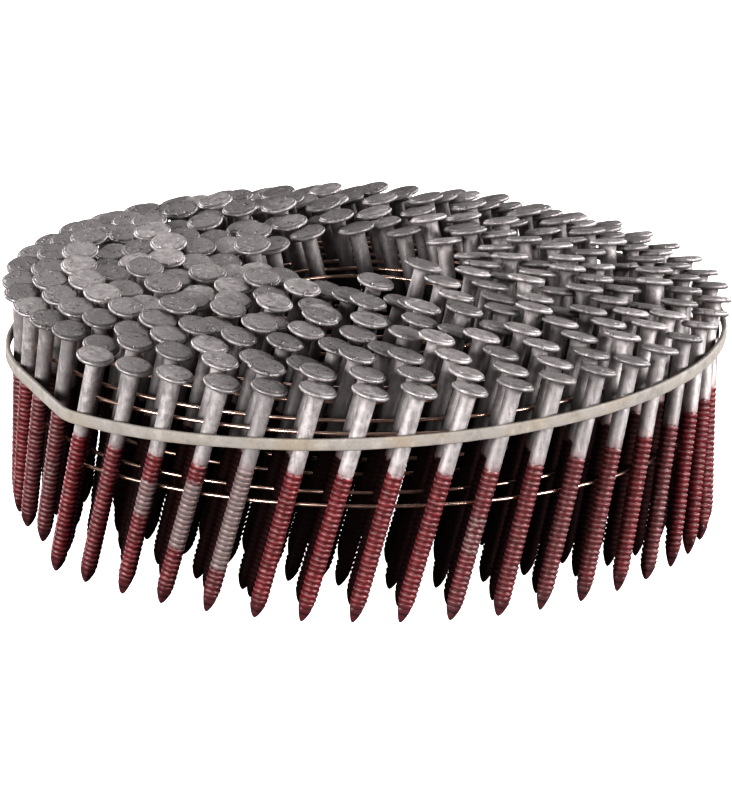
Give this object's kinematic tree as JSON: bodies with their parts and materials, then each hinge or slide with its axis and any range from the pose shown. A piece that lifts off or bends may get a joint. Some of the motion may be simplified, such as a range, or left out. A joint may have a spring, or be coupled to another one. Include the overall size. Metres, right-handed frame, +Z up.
{
  "type": "wire-collated nail coil",
  "caption": "Spiral coil of slanted ring-shank nails joined by two welded wires, inner turns riding up in a low dome, held by a rubber band round the outside.",
  "frame": {"origin": "on the spiral's axis, level with the points of the outer turn, which the coil stands on", "axes": "+Z up to the heads along the spiral's axis; -Y is the front; the strip's loose outer end is at the front left (-X, -Y)"},
  "size_m": [0.1345, 0.1371, 0.0528],
  "materials": {
    "galvanised_nail": "dull zinc on head and upper shank; thin wine-red lacquer on the ringed lower shank and point",
    "copper_wire": "thin steel wire with a bright copper coat",
    "natural_rubber": "matt off-white natural rubber"
  },
  "bodies": {
    "coil": {"lead_nail": "galvanised_nail", "lower_wire": "copper_wire", "turn_01_back_nails": "galvanised_nail", "turn_01_front_nails": "galvanised_nail", "turn_02_back_nails": "galvanised_nail", "turn_02_front_nails": "galvanised_nail", "turn_03_back_nails": "galvanised_nail", "turn_03_front_nails": "galvanised_nail", "turn_04_back_nails": "galvanised_nail", "turn_04_front_nails": "galvanised_nail", "turn_05_back_nails": "galvanised_nail", "turn_05_front_nails": "galvanised_nail", "turn_06_back_nails": "galvanised_nail", "turn_06_front_nails": "galvanised_nail", "turn_07_back_nails": "galvanised_nail", "turn_07_front_nails": "galvanised_nail", "turn_08_back_nails": "galvanised_nail", "turn_08_front_nails": "galvanised_nail", "turn_09_back_nails": "galvanised_nail", "turn_09_front_nails": "galvanised_nail", "turn_10_front_nails": "galvanised_nail", "upper_wire": "copper_wire"},
    "band": {"rubber_band": "natural_rubber"}
  },
  "joints": [
    {"name": "band_slide", "type": "slide", "parent": "coil", "child": "band", "axis": [0, 0, -1], "range_m": [-0.0025, 0.008]}
  ]
}
